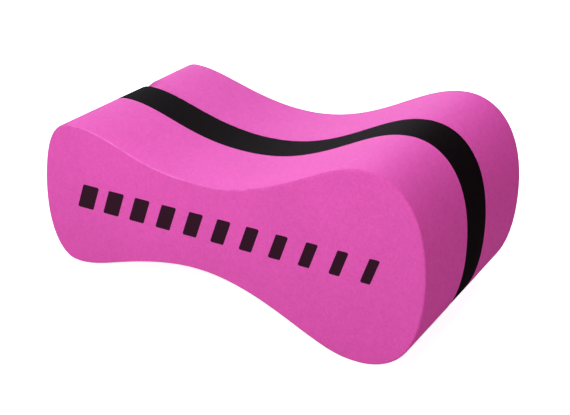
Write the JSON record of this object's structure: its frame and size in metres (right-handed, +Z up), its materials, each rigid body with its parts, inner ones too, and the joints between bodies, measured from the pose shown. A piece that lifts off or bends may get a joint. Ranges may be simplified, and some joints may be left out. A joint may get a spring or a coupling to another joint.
{
  "type": "pull buoy",
  "caption": "Figure-of-eight foam swimming float in bonded layers: thick outer blocks around a thin contrasting centre layer, unequal lobes, waist on both sides for the thighs.",
  "frame": {"origin": "under the middle of the float's box, on the surface that it stands on", "axes": "+X from the small lobe to the big lobe, +Y from the printed front face to the plain rear face, +Z up with both lobes standing on Z = 0"},
  "size_m": [0.228, 0.1231, 0.1049],
  "materials": {
    "pink_foam": "matte closed-cell EVA foam skin, fine cell texture",
    "black_foam": "matte closed-cell EVA foam, fine cell texture",
    "contact_adhesive": "dried clear contact adhesive film, dark from the black foam that it lies on",
    "print_ink": "matte screen-printing ink soaked into the foam skin"
  },
  "bodies": {
    "root": {"front_foam_block": "pink_foam", "centre_foam_layer": "black_foam", "rear_foam_block": "pink_foam", "front_glue_film": "contact_adhesive", "rear_glue_film": "contact_adhesive", "printed_bar_1": "print_ink", "printed_bar_2": "print_ink", "printed_bar_3": "print_ink", "printed_bar_4": "print_ink", "printed_bar_5": "print_ink", "printed_bar_6": "print_ink", "printed_bar_7": "print_ink", "printed_bar_8": "print_ink", "printed_bar_9": "print_ink", "printed_bar_10": "print_ink", "printed_bar_11": "print_ink"}
  },
  "joints": []
}
